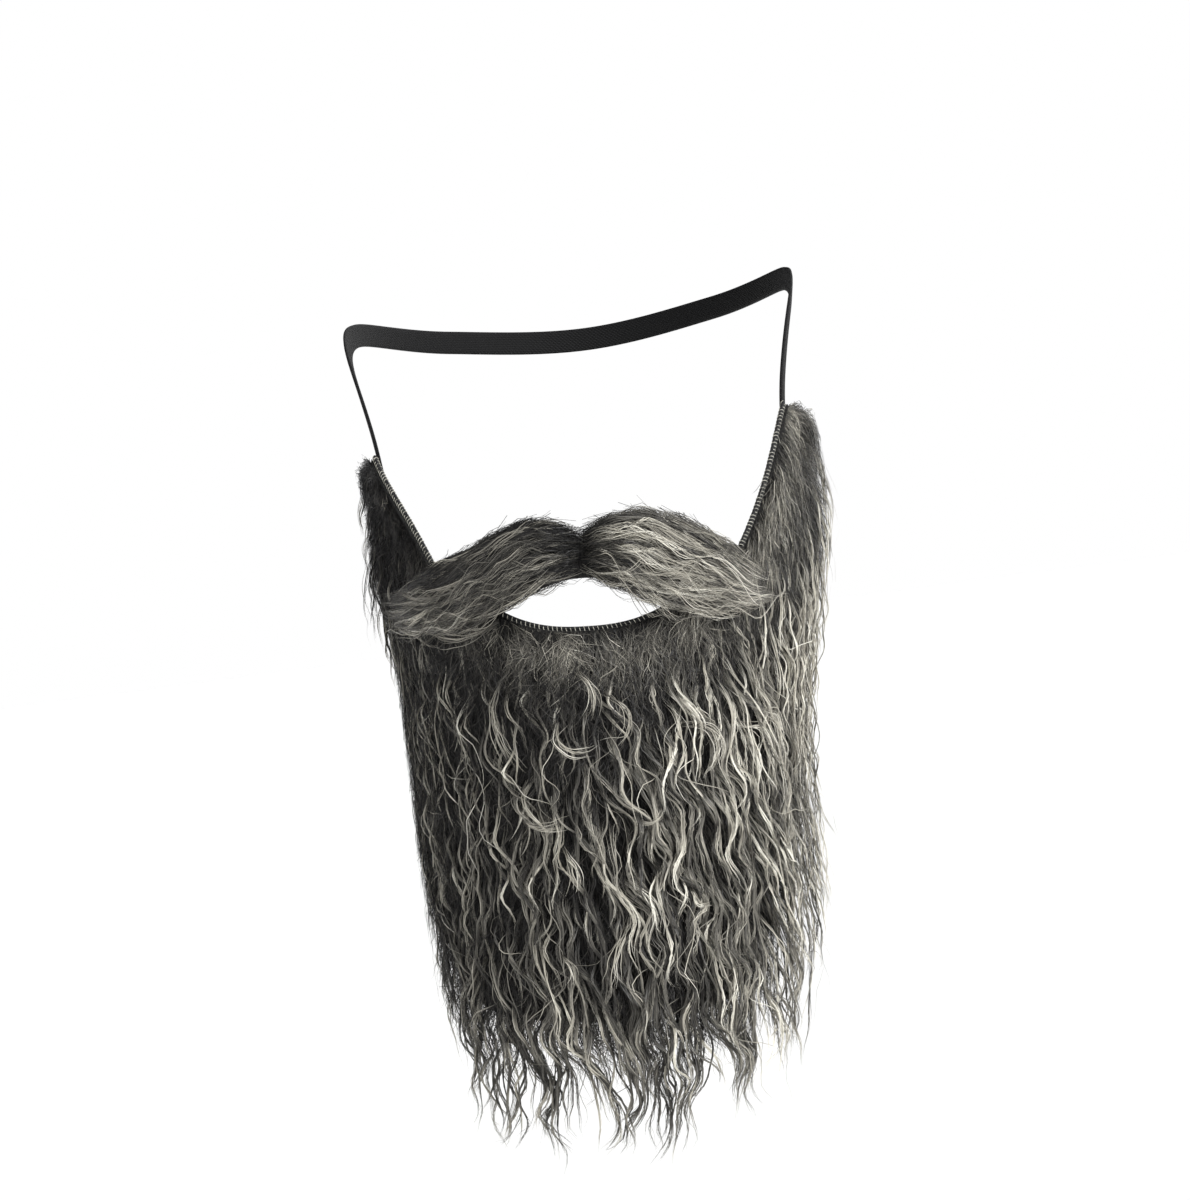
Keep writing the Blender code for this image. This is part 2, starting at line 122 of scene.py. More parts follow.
def block(turn, height):
    """Points on the block, which swings aslant below the sideburns as the beard hangs."""
    half_width = through(BLOCK_HEIGHTS, BLOCK_HALF_WIDTHS, height)
    side = through(BLOCK_HEIGHTS, BLOCK_SIDE_DEPTHS, height)
    front = through(BLOCK_HEIGHTS, BLOCK_FRONTS, height)
    x = half_width * np.sin(turn)
    blend = (SIDEBURN_HEIGHT - height) / (SIDEBURN_HEIGHT - CHEEK_CORNER[1])
    blend = np.clip(blend, 0, 1)
    swing = HANG_SWING * blend**2 * (3 - 2 * blend)
    above = height - NOTCH_HEIGHT
    return np.stack(
        (
            x * np.cos(swing) + above * np.sin(swing),
            side - (side - front) * np.cos(turn),
            NOTCH_HEIGHT + above * np.cos(swing) - x * np.sin(swing),
        ),
        -1,
    )


def unit(vectors):
    return vectors / np.linalg.norm(vectors, axis=-1, keepdims=True)


def off_block(turn, height, lift):
    """Points at a lift off the block, and the direction that points out of it there."""
    turn, height, lift = np.broadcast_arrays(turn, height, lift)
    here = block(turn, height)
    aside, above = block(turn + NUDGE, height) - here, block(turn, height + NUDGE) - here
    outward = unit(np.cross(aside, above))
    return here + outward * lift[..., None], outward


def turn_length(turn, height):
    """Metres round the block for each radian of turn."""
    return np.linalg.norm(block(turn + NUDGE, height) - block(turn, height), axis=-1) / NUDGE


def turn_at(half_width, height, lift=0.0):
    """The turn at which the block, or a lift off it, has a half width."""
    share = half_width / (through(BLOCK_HEIGHTS, BLOCK_HALF_WIDTHS, height) + lift)
    return np.arcsin(np.clip(share, -1, 1))


FABRIC = 0.0015
OPENING_ALONG, CHEEK_ALONG = 5 / 16, 7 / 16
HEM_ALONG = (0.00, 0.15, 0.27, 0.35, 0.43, 0.52, 0.62, 0.75, 0.88, 1.00)
HEM_TURNS = (0, 24, 45, 60, 71, 80, 87, 92, 94, 90)
HEM_DROPS = (1.00, 0.99, 0.95, 0.83, 0.63, 0.40, 0.14, 0.0, 0.0, 0.0)
HEM_RISES = (0.0, 0.0, 0.0, 0.0, 0.0, 0.0, 0.0, 0.16, 0.52, 0.92)


def seam(share, shift=0.0):
    """The seam between beard and moustache, share 0 at the opening and 1 at the cheek edge."""
    height = OPENING_CORNER[1] + (CHEEK_CORNER[1] - OPENING_CORNER[1]) * share
    half_width = OPENING_CORNER[0] + (CHEEK_CORNER[0] - OPENING_CORNER[0]) * share
    return turn_at(half_width - shift, height), height


def inner_edge(along):
    """Turn and height along the lip edge, the seam and the cheek edge, out from the middle."""
    lip = np.clip(along / OPENING_ALONG, 0, 1)
    lip_height = LIP_EDGE_HEIGHT + (OPENING_CORNER[1] - LIP_EDGE_HEIGHT) * lip**2.5
    lip_turn = turn_at(OPENING_CORNER[0] * lip, lip_height)
    joined = np.clip((along - OPENING_ALONG) / (CHEEK_ALONG - OPENING_ALONG), 0, 1)
    seam_turn, seam_height = seam(joined)
    cheek = np.clip((along - CHEEK_ALONG) / (1 - CHEEK_ALONG), 0, 1)
    cheek_height = CHEEK_CORNER[1] + (SIDEBURN_HEIGHT - CHEEK_CORNER[1]) * cheek
    start = turn_at(CHEEK_CORNER[0], CHEEK_CORNER[1])
    cheek_turn = start + (EDGE_TURN - start) * (0.75 * cheek + 0.25 * cheek**2)
    parts = (along <= OPENING_ALONG, along <= CHEEK_ALONG)
    turn = np.select(parts, (lip_turn, seam_turn), cheek_turn)
    return turn, np.select(parts, (lip_height, seam_height), cheek_height)


def hem(along):
    """Turn and height along the outer edge, from the middle of the bib to the sideburn."""
    turn = np.radians(through(HEM_ALONG, HEM_TURNS, along))
    drop = through(HEM_ALONG, HEM_DROPS, along) * BIB_DROP
    return turn, through(HEM_ALONG, HEM_RISES, along) * SIDEBURN_HEIGHT - drop


def on_cut(across, up):
    """Turn and height on the beard's cut, across from -1 to 1, up from 0 at the hem to 1."""
    inner_turn, inner_height = inner_edge(np.abs(across))
    hem_turn, hem_height = hem(np.abs(across))
    turn = hem_turn + (inner_turn - hem_turn) * up
    return np.copysign(turn, across), hem_height + (inner_height - hem_height) * up


def linear(hex_colour):
    """An sRGB hex colour as the linear red, green, blue and alpha that a shader takes."""
    shares = [int(hex_colour[i : i + 2], 16) / 255 for i in (1, 3, 5)]
    return *((s / 12.92 if s < 0.04045 else ((s + 0.055) / 1.055) ** 2.4) for s in shares), 1


def add(tree, kind, inputs=(), **settings):
    """The outputs of a new shader node, which has its settings and its inputs set or linked."""
    made = tree.nodes.new("ShaderNode" + kind)
    for name, value in settings.items():
        setattr(made, name, value)
    for name, value in dict(inputs).items():
        if isinstance(value, bpy.types.NodeSocket):
            tree.links.new(value, made.inputs[name])
        else:
            made.inputs[name].default_value = value
    return made.outputs


def shaded(name, finish):
    """A new material whose surface has a finish, its tree and its surface shader."""
    material = bpy.data.materials.new(name)
    material.use_nodes = True
    surface = material.node_tree.nodes["Principled BSDF"]
    for quality, value in finish.items():
        surface.inputs[quality].default_value = value
    return material, material.node_tree, surface


def coloured(tree, surface, share, dark, pale):
    """The surface's colour, between a dark and a pale one by a share."""
    inputs = {"Factor": share, 6: linear(dark), 7: linear(pale)}
    shades = add(tree, "Mix", inputs, data_type="RGBA")
    tree.links.new(shades[2], surface.inputs["Base Color"])


def embossed(tree, surface, height, strength, distance):
    """The surface's fine relief."""
    relief = add(tree, "Bump", {"Height": height, "Strength": strength, "Distance": distance})
    tree.links.new(relief["Normal"], surface.inputs["Normal"])


def finished(mesh, name, material):
    """The piece of a mesh, shaded smooth and riding on the body."""
    mesh.materials.append(material)
    mesh.shade_smooth()
    piece = linked(name, mesh)
    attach(piece, "root")
    return piece


def mesh_of(bm, name):
    mesh = bpy.data.meshes.new(name)
    bm.to_mesh(mesh)
    bm.free()
    return mesh


def placed(bm, name, material):
    return finished(mesh_of(bm, name), name, material)


def bent_cloth(columns, rows, place, width, length):
    """A closed cloth wall. place turns arrays of across, up and layer into points, and the map
    holds metres on the flat cut, so that a knit keeps its gauge."""
    bm = bmesh.new()
    bmesh.ops.create_grid(bm, x_segments=columns, y_segments=rows, size=1)
    raised = bmesh.ops.extrude_face_region(bm, geom=bm.faces[:])
    for part in raised["geom"]:
        if isinstance(part, bmesh.types.BMVert):
            part.co.z = 1
    bmesh.ops.recalc_face_normals(bm, faces=bm.faces)
    cut = bm.loops.layers.uv.new("cut")
    for face in bm.faces:
        for loop in face.loops:
            loop[cut].uv = (loop.vert.co.x * width / 2, loop.vert.co.y * length / 2)
    flat = np.array([vertex.co for vertex in bm.verts])
    for vertex, point in zip(bm.verts, place(flat[:, 0], flat[:, 1] / 2 + 0.5, flat[:, 2])):
        vertex.co = point
    return bm


def ribbed(tree, across, along, waves):
    """The map of a cut, and two sets of ribs that cross on it, at a pitch across and along."""
    cut_map = add(tree, "UVMap", uv_map="cut")["UV"]
    gauge = add(tree, "Mapping", {"Vector": cut_map, "Scale": (1 / across, 1 / along, 1)})[0]
    laid = {"Vector": gauge, "Scale": 0.5}
    ribs = [add(tree, "TexWave", laid | wave, bands_direction=way)["Fac"] for way, wave in waves]
    return cut_map, add(tree, "Math", dict(enumerate(ribs)), operation="MULTIPLY")[0]


# Warp knit in dyed polyester: dull, with ribs of loops, a little paler on their crowns in random
# patches, which is a painted highlight. The loops are drawn 1.8 mm apart, where real ones are 1 mm,
# so that they show.
knit, tree, surface = shaded(
    "warp_knit_polyester", {"Roughness": 0.9, "Sheen Weight": 0.25, "Sheen Roughness": 0.6}
)
LOOP = 0.0018
waves = (
    ("X", {"Distortion": 1.2, "Detail": 1.0, "Detail Scale": 2.0}),
    ("Y", {"Distortion": 2.0, "Detail": 1.0, "Detail Scale": 3.0}),
)
cut_map, crowns = ribbed(tree, LOOP, LOOP, waves)
patches = add(tree, "TexNoise", {"Vector": cut_map, "Scale": 60.0, "Detail": 3.0})["Fac"]
# Painted highlight: the loops' crowns are coloured paler, more so in some random patches.
crown_highlights_in_patches = add(tree, "Math", {0: crowns, 1: patches}, operation="MULTIPLY")[0]
coloured(tree, surface, crown_highlights_in_patches, "#1d1d1f", "#6d6c69")
embossed(tree, surface, crowns, 0.7, 0.0005)


BEARD_CUT = (0.40, 0.13)


def fabric_on(cut):
    """What bent_cloth takes to make the fabric's wall over a cut."""
    return lambda across, up, layer: off_block(*cut(across, up), layer * FABRIC)[0]


wall = bent_cloth(128, 36, fabric_on(on_cut), *BEARD_CUT)
backing = placed(wall, "knitted_beard_backing", knit)
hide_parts("beard_backing")


# --- The undercoat of the beard ---
# Under the locks the pile is a dark, felted wool that hides the fabric. Here it is a lumpy bed of
# wool with loose, frizzy hairs over all of it.

PILE_FLOOR = FABRIC + 0.0003
BED_DEPTH = 0.0022
WOOL_HAIRS, TOP_HAIRS = 33000, 1400
WOOL_LENGTHS = (0.007, 0.014)
WOOL_STANDS = (0.0012, 0.0058)
WOOL_WIDTHS = (0.00011, 0.00021)
PATCH_WIDTH = 0.0026
PATCH_LENGTH = 0.0052
PATCH_TABLE = (97, 61)
LIP_FADE = 0.020  # below the lip edge the pile reaches its full length over this run
SOFT_FROM, SOFT_OVER = 0.026, 0.02  # above this height the pile turns softer and fuzzier
BARE_BAND, BARE_ABOVE = 0.026, 0.02  # few locks hide the wool here, so all its hairs stay
THINNED = 0.60  # the share of them that stays elsewhere
RIBBON_LEAN = 0.7
RIBBON_TWIST = 0.35
chance = np.random.default_rng(12)


def fullness(turn):
    """How far the pile stands out: all of it at the front and about half on the sideburns."""
    return 1 - 0.45 * np.sin(turn) ** 2


def edge_rise(share, reach):
    """0 at an edge and 1 from reach on, rounded like the edge of a cushion."""
    q = np.clip(share / reach, 0, 1)
    return np.sqrt(q * (2 - q))


def lumps(across, up, ways, bands):
    """Soft, even lumps between -1 and 1."""
    rough = np.sin(ways * across + 1.9 * np.sin(bands * up * 0.6))
    return 0.6 * rough * np.sin(bands * up + 1.3 * np.sin(ways * across * 0.37)) + 0.4 * np.sin(
        ways * 2.3 * across + bands * 1.7 * up
    )


def rooted_at(across, up):
    """Places on the beard's cut: across, up, and metres below the inner edge."""
    width = np.linalg.norm(block(*on_cut(across, 1.0)) - block(*on_cut(across, 0.0)), axis=-1)
    return across, up, (1 - up) * width


def spaced(count):
    """Random shares between 0 and 1 in rising order, one in each of a number of even steps."""
    return (np.arange(count) + chance.random(count)) / count


def scattered(count):
    """Places spread evenly over the whole cut."""
    lines, bands = np.linspace(-1, 1, 161), np.linspace(0, 1, 33)
    corners = block(*on_cut(*np.meshgrid(lines, bands, indexing="ij")))
    area = np.linalg.norm(
        np.cross(corners[1:, :-1] - corners[:-1, :-1], corners[:-1, 1:] - corners[:-1, :-1]),
        axis=-1,
    )
    filled = np.cumsum(area) / area.sum()
    i, j = np.unravel_index(np.searchsorted(filled, spaced(count)), area.shape)
    across = lines[i] + chance.random(count) * (lines[1] - lines[0])
    return rooted_at(across, bands[j] + chance.random(count) * (bands[1] - bands[0]))


def edge_band(count, ends, lowest, highest):
    """Places in a band along an edge of the cut."""
    return rooted_at((2 * spaced(count) - 1) * ends, chance.uniform(lowest, highest, count))


def chosen(roots, rule):
    return tuple(values[rule] for values in roots)


def ribbons(name, points, outward, width, tone, spread):
    """Hairs as thin strips in one mesh. The map holds the share of the way from root to tip and
    the hair's tone, spread a little from side to side as a painted shade that makes the flat strip
    look round, which is all that its colour depends on."""
    hairs, rings = points.shape[:2]
    along = unit(np.gradient(points, axis=1))
    side = unit(np.cross(along, outward))
    lean = chance.uniform(-RIBBON_LEAN, RIBBON_LEAN, (hairs, 1, 1))
    lean = lean + RIBBON_TWIST * np.sin(np.linspace(0, 5, rings)[None, :, None] + 6 * lean)
    side = side * np.cos(lean) + np.cross(side, along) * np.sin(lean)
    share = np.linspace(0, 1, rings)
    taper = np.clip(0.75 + 0.5 * share, 0, 1) * np.clip((1.04 - share) / 0.35, 0.12, 1)
    half = (np.asarray(width)[:, None] * taper / 2)[..., None] * side
    corners = np.stack((points - half, points + half), 2).reshape(-1, 3)
    first = (np.arange(hairs)[:, None] * rings + np.arange(rings - 1)).ravel() * 2
    quads = first[:, None] + np.array((0, 1, 3, 2))
    mesh = bpy.data.meshes.new(name)
    mesh.vertices.add(len(corners))
    mesh.vertices.foreach_set("co", corners.astype(np.float32).ravel())
    mesh.loops.add(quads.size)
    mesh.loops.foreach_set("vertex_index", quads.astype(np.int32).ravel())
    mesh.polygons.add(len(quads))
    mesh.polygons.foreach_set("loop_start", np.arange(0, quads.size, 4, dtype=np.int32))
    mesh.update(calc_edges=True)
    tone = 0.05 + 0.90 * np.clip(tone.reshape(hairs, -1, 1), 0, 1)
    u = np.broadcast_to(0.02 + 0.96 * share[None, :, None], (hairs, rings, 2))
    # Painted shade: one edge of each strip is paler than the other.
    v = np.broadcast_to(tone + np.array((-spread, spread)), u.shape)
    flat = np.stack((u, v), -1).reshape(-1, 2)
    layer = mesh.uv_layers.new(name="OFBake")
    layer.uv.foreach_set("vector", flat[quads.ravel()].astype(np.float32).ravel())
    return finished(mesh, name, pile)


# Felted acrylic wool: matt charcoal, of fine hairs that lie mostly downwards and cross each other.
wool, tree, surface = shaded(
    "felted_acrylic_wool", {"Roughness": 0.95, "Specular IOR Level": 0.15, "Sheen Weight": 0.05}
)
HAIR = 0.00035
cut_map = add(tree, "UVMap", uv_map="cut")["UV"]
stirred = add(tree, "TexNoise", {"Vector": cut_map, "Scale": 130.0, "Detail": 1.0})["Color"]
swirl = add(tree, "Mix", {"Factor": 0.004, 4: cut_map, 5: stirred}, data_type="VECTOR")[1]
laid = []
for turned, drawn, coarse in ((0.0, 0.12, 0.5), (0.7, 0.15, 0.4)):
    lay = {"Vector": swirl, "Rotation": (0, 0, turned), "Scale": (1 / HAIR, drawn / HAIR, 1)}
    combed = add(tree, "Mapping", lay)[0]
    laid.append(add(tree, "TexNoise", {"Vector": combed, "Scale": coarse, "Detail": 3.0})["Fac"])
felt = add(tree, "Math", dict(enumerate(laid)), operation="MAXIMUM")[0]
shade = add(tree, "MapRange", {"Value": felt, "From Min": 0.42, "From Max": 0.80})[0]
coloured(tree, surface, shade, "#08080a", "#3a3937")
embossed(tree, surface, felt, 0.8, 0.0008)


def wool_bed(across, up, layer):
    turn, height = on_cut(across, up)
    rise = edge_rise(1 - up, 0.18) * edge_rise(up, 0.06) * edge_rise(1 - np.abs(across), 0.05)
    depth = 0.0002 + BED_DEPTH * fullness(turn) * rise * (1 + 0.45 * lumps(across, up, 44, 26))
    return off_block(turn, height, PILE_FLOOR + layer * depth)[0]


bed = placed(bent_cloth(200, 60, wool_bed, *BEARD_CUT), "wool_bed_of_beard", wool)

# Modacrylic pile fibre: spun from dark, grey and white filaments, with a satin shine on its bends.
pile, tree, surface = shaded(
    "modacrylic_pile_fibre", {"Roughness": 0.45, "Specular IOR Level": 0.3, "Sheen Weight": 0.03}
)
hair_map = add(tree, "UVMap", uv_map="OFBake")["UV"]
spread = add(tree, "SeparateXYZ", {"Vector": hair_map})
streaks = add(tree, "Mapping", {"Vector": hair_map, "Scale": (5.0, 240.0, 1.0)})[0]
flecks = add(tree, "TexNoise", {"Vector": streaks, "Scale": 1.0, "Detail": 2.0})["Fac"]
reach = {"From Min": 0.3, "From Max": 0.7, "To Min": -0.08, "To Max": 0.08}
mixed = add(tree, "MapRange", {"Value": flecks} | reach)[0]
# The tone grows paler from root to tip and is flecked at random.
paler_to_tips_and_flecks = add(tree, "Math", {0: spread["X"], 1: 0.13, 2: mixed}, operation="MULTIPLY_ADD")[0]
toned = add(tree, "Math", {0: spread["Y"], 1: paler_to_tips_and_flecks}, operation="ADD")[0]
blend = add(tree, "ValToRGB", {"Fac": toned})["Color"]
SHADES = (
    (0.00, "#09090a"),
    (0.25, "#1d1c1d"),
    (0.45, "#45433f"),
    (0.65, "#7e7b73"),
    (0.83, "#bdb8aa"),
    (1.00, "#f1eee2"),
)
stops = blend.node.color_ramp.elements
while len(stops) < len(SHADES):
    stops.new(0.5)
for stop, (place, shade) in zip(stops, SHADES):
    stop.position, stop.color = place, linear(shade)
# Painted shade: each hair's colour is darkened towards its root, where it sinks into the pile.
reach = {"From Max": 0.35, "To Min": 0.25, "To Max": 1.0}
root_shade = add(tree, "MapRange", {"Value": spread["X"]} | reach)[0]
root_shade_grey = add(tree, "CombineColor", {0: root_shade, 1: root_shade, 2: root_shade})[0]
both = {"Factor": 1.0, 6: blend, 7: root_shade_grey}
colour_with_root_shade = add(tree, "Mix", both, data_type="RGBA", blend_type="MULTIPLY")[2]
tree.links.new(colour_with_root_shade, surface.inputs["Base Color"])


def wave_set(hairs, periods):
    """The sizes, periods and phases of the waves that a number of hairs hang in."""
    return [
        (
            share * chance.uniform(0.4, 1.5, (hairs, 1)),
            chance.uniform(*period, (hairs, 1)),
            chance.random((hairs, 1)),
        )
        for share, period in zip((1.0, 0.5, 0.3), periods)
    ]


def sway(waves, run, own=slice(None)):
    """How far hairs head to one side, at metres run from their roots."""
    return sum(
        size[own] * np.sin(2 * np.pi * (run / period[own] + phase[own]))
        for size, period, phase in waves
    )


def followed(heading, run):
    """Metres aside and metres along of hairs that take a heading at each ring."""
    step = run[:, 1:] - run[:, :-1]
    turn = (heading[:, 1:] + heading[:, :-1]) / 2
    aside = np.pad(np.cumsum(np.sin(turn) * step, 1), ((0, 0), (1, 0)))
    return aside, np.pad(np.cumsum(np.cos(turn) * step, 1), ((0, 0), (1, 0)))


def top_spray(across, run):
    """The heading that pile at the top of a sideburn starts with, back over the edge."""
    top = np.sign(across) * np.clip((np.abs(across) - 0.90) / 0.06, 0, 1)
    return 1.7 * top * np.exp(-run / 0.006)


def lie(across, up):
    """Turn, height and metres to a radian there, and how soft the pile is: 1 on a sideburn."""
    turn, height = on_cut(across, up)
    soft = np.clip((height - SOFT_FROM) / SOFT_OVER, 0, 1)
    return turn, height, turn_length(turn, height), soft


def beard_wool(name, roots, rings=5):
    """Short frizzy hairs that lean together in patches and hang longer over the hem."""
    across, up, below = (values[:, None] for values in roots)
    turn, height, around, soft = lie(across, up)
    count, share = len(turn), np.linspace(0, 1, rings)
    lip = np.clip(below / LIP_FADE, 0, 1)
    hanging = np.clip(1 - up / 0.10, 0, 1) * np.clip((0.86 - np.abs(across)) / 0.1, 0, 1)
    left = np.sin(turn)

    length = chance.uniform(*WOOL_LENGTHS, (count, 1)) * (1 + 0.9 * hanging)
    waves = wave_set(count, ((0.7, 1.3), (0.5, 0.8)))
    drift = lumps(across, up, 19, 11)
    column = turn * around / PATCH_WIDTH + 1.5 * drift
    row = height / PATCH_LENGTH + 0.8 * drift
    patches = np.clip(chance.normal(0, 1, (3, *PATCH_TABLE)), -1.3, 1.3)
    i, j = (np.floor(at).astype(int) % size for at, size in zip((column, row), PATCH_TABLE))
    leaning, paler, longer = patches[:, i, j]
    run = length * (1 + 0.4 * (1 - lip) * (1 - soft)) * (1 + 0.15 * longer) * share
    heading = chance.normal(0, 0.22, (count, 1)) + (0.35 * drift + 0.42 * leaning)
    heading = heading + 0.75 * sway(waves, share)
    aside, down = followed(heading + top_spray(across, run), run)
    aside = aside - (0.0011 + 0.0013 * hanging) * (column % 1 - 0.5) * share

    full = fullness(turn) * edge_rise(up + 0.1, 0.2)
    stand = chance.uniform(*WOOL_STANDS, (count, 1)) * full
    stand = stand * (1 + 0.5 * soft + 0.4 * soft * np.maximum(left, 0)) + 0.0014
    stand = stand * np.minimum(0.45 + 1.1 * lip, 1)
    lift = stand * (1 - np.exp(-run / 0.0022)) + 0.0005 * sway(waves[:1], share + 0.3)
    lift = PILE_FLOOR + np.maximum(lift, 0.0008)
    points, outward = off_block(turn + aside / around, height - down, lift)

    # Painted light and shade: the wool is paler towards the wearer's left, where the key light
    # falls, and darker on the sideburn on the wearer's right, as painted shadow of the head.
    tone = chance.normal(0.16, 0.14, (count, 1)) + 0.33 * (1 - lip) + 0.09 * left
    tone += 0.04 * drift + (0.07 + 0.05 * (1 - lip)) * paler + 0.14 * hanging
    tone += 0.28 * soft * np.minimum(left, 0)
    return ribbons(name, points, outward, chance.uniform(*WOOL_WIDTHS, count), tone, 0.01)


# Where locks hide the wool, it is thinned.
roots = scattered(WOOL_HAIRS)
bare = (roots[2] < BARE_BAND) | (on_cut(roots[0], roots[1])[1] > BARE_ABOVE)
roots = chosen(roots, bare | (chance.random(WOOL_HAIRS) < THINNED))
ends = np.repeat((-1, 1), TOP_HAIRS // 2) * chance.uniform(0.96, 1.0, TOP_HAIRS)
ends = rooted_at(ends, chance.random(TOP_HAIRS))
edges = (edge_band(3000, 1.0, 0.97, 1.0), edge_band(3800, 0.86, 0.0, 0.10), ends)
roots = tuple(np.concatenate(parts) for parts in zip(roots, *edges))
for word, rule in (("right", roots[0] < 0), ("left", roots[0] >= 0)):
    beard_wool("wool_hairs_" + word, chosen(roots, rule))


# --- The locks of the beard ---
# Long pile, heat-set in waves. Hairs cling together in thin locks, which take most of their waves
# from the locks beside them, and some dozen of them end together in a wisp below the hem.

TIP_LENGTH = 0.033
TIP_TURNS = (-1.2, -0.8, -0.4, 0, 0.4, 0.9)
TIP_REACHES = (0.010, 0.014, 0.017, 0.015, 0.015, 0.014)
ASIDE_LEAN = 0.09
LONG_WAVE = 0.027
SHORT_WAVE = 0.0150
LOW_SPAN = 0.09
CROWN_LIFT = 0.0017
FLICK_HEIGHT = -0.04
FLICK_LIFT = 0.014
FRIZZ_PERIODS = ((0.009, 0.016), (0.006, 0.009))


def tip_limit(turn):
    """The height that the longest tips reach at a turn."""
    along = np.linspace(0, 0.88, 45)
    turns, heights = hem(along)
    longer = np.interp(turn, TIP_TURNS, TIP_REACHES)
    return np.interp(np.abs(turn), turns, heights) - TIP_LENGTH - longer


def drape(place, height):
    """The heading that pile takes from its neighbours, at metres round the block and a height."""
    drift = 0.55 * np.sin(place / 0.011 + 1) + 0.30 * np.sin(place / 0.0049)
    long_waves = 0.8 * np.sin(2 * np.pi * (height / LONG_WAVE + drift))
    return long_waves + 0.65 * np.sin(2 * np.pi * (height / SHORT_WAVE + place / 0.024 + drift))


def cut_short(courses, own):
    """What each lock's courses are for its own hairs, which end at different places along it."""
    rings = courses[0].shape[1]
    at = np.linspace(0, rings - 1, rings) * chance.uniform(0.82, 1.0, (len(own), 1))
    i = np.minimum(at.astype(int), rings - 2)
    lock = own[:, None]
    return [c[lock, i] + (at - i) * (c[lock, i + 1] - c[lock, i]) for c in courses]


def in_tufts(turn, height, tufts):
    """The locks that tufts gather round, and the number of the tuft that each lock is in."""
    middles = chance.choice(len(turn), min(tufts, len(turn)), replace=False)
    where = block(turn, height)
    return middles, np.linalg.norm(where - where[middles].swapaxes(0, 1), axis=-1).argmin(1)


def lock_courses(roots, tufts, rings, look):
    """For each lock and ring the metres run, aside, down and off the pile's floor, the heading,
    and how far the lock stands on a wave's crown. Locks are short near the lip edge and on the
    sideburns, ragged from tuft to tuft, and drawn together towards the tips of a tuft."""
    across, up, below = (values[:, None] for values in roots)
    turn, height, around, soft = lie(across, up)
    locks, share, left = len(turn), np.linspace(0, 1, rings), np.sin(turn)
    lip = np.clip((below - 0.004) / LIP_FADE, 0, 1)
    low = np.clip(-height / LOW_SPAN, 0, 1)
    middles, tuft = in_tufts(turn, height, tufts)

    near_lip = np.clip((0.34 - np.abs(across)) / 0.06, 0, 1)
    shortest = 0.22 * near_lip + 0.5 * (1 - near_lip)
    length = look["length"] * (shortest + (1 - shortest) * lip) * (1 + 0.32 * low)
    length *= chance.uniform(0.70, 1.12, (locks, 1)) * (1 - 0.40 * soft)
    ragged = 0.85 * chance.random((len(middles), 1)) ** 1.7
    tip = tip_limit(turn) + TIP_LENGTH * (ragged[tuft] + chance.uniform(0, 0.22, (locks, 1)))
    run = np.clip(np.minimum(length, (height - tip) * 1.12), 0.009, None) * share

    waves = wave_set(locks, look["periods"])
    eased = np.minimum(run / 0.010 + 0.2, 1) * (1 - 0.62 * soft)
    lean = chance.normal(0, look["lean"], (len(middles), 1))[tuft]
    heading = (lean + look["swing"] * sway(waves, run)) * eased
    curl = chance.normal(-0.30, 0.45, (len(middles), 1))[tuft]
    heading += curl * np.clip((share - 0.6) / 0.4, 0, 1) * (1 - soft)
    heading += ASIDE_LEAN * (1 - soft) + top_spray(across, run)
    aside, down = np.zeros((2, locks, rings))
    step = np.diff(run, axis=1)
    for ring in range(rings):
        place = (turn * around)[:, 0] + aside[:, ring]
        at_ring = drape(place, height[:, 0] - down[:, ring])
        heading[:, ring] += look["drape"] * eased[:, ring] * at_ring
        if ring + 1 < rings:
            aside[:, ring + 1] = aside[:, ring] + np.sin(heading[:, ring]) * step[:, ring]
            down[:, ring + 1] = down[:, ring] + np.cos(heading[:, ring]) * step[:, ring]
    apart = (turn - turn[middles][tuft]) * around
    aside = aside - look["gather"] * (1 - soft) * (1 + 0.9 * low) * apart * share**1.5

    full = fullness(turn)
    beyond = np.clip(down - (height - tip_limit(turn) - TIP_LENGTH), 0, 0.03) / 0.03
    stand = chance.uniform(*look["stand"], (locks, 1)) * (full - 0.10) / 0.90
    stand = stand * (0.35 + 0.65 * lip) * (1 - 0.35 * beyond)
    low_left = np.clip(-height / 0.06, 0, 1) * np.clip(left, 0, 1)
    stand = stand * (1 + 0.9 * soft + (0.5 * left + 0.7 * low_left) * (1 - soft))
    crown = sway(waves[:2], run + 0.004) * np.minimum(run / 0.01, 1)
    lift = stand * (1 - np.exp(-run / 0.007)) + CROWN_LIFT * crown * full * (0.25 + 0.75 * lip)
    flicked = np.clip((left - 0.7) / 0.2, 0, 1)
    flicked = flicked * np.exp(-(((height - FLICK_HEIGHT) / 0.025) ** 2))
    lift += FLICK_LIFT * flicked * np.clip(np.abs(curl), 0, 1) * share**2
    return run, aside, down, lift, heading, crown


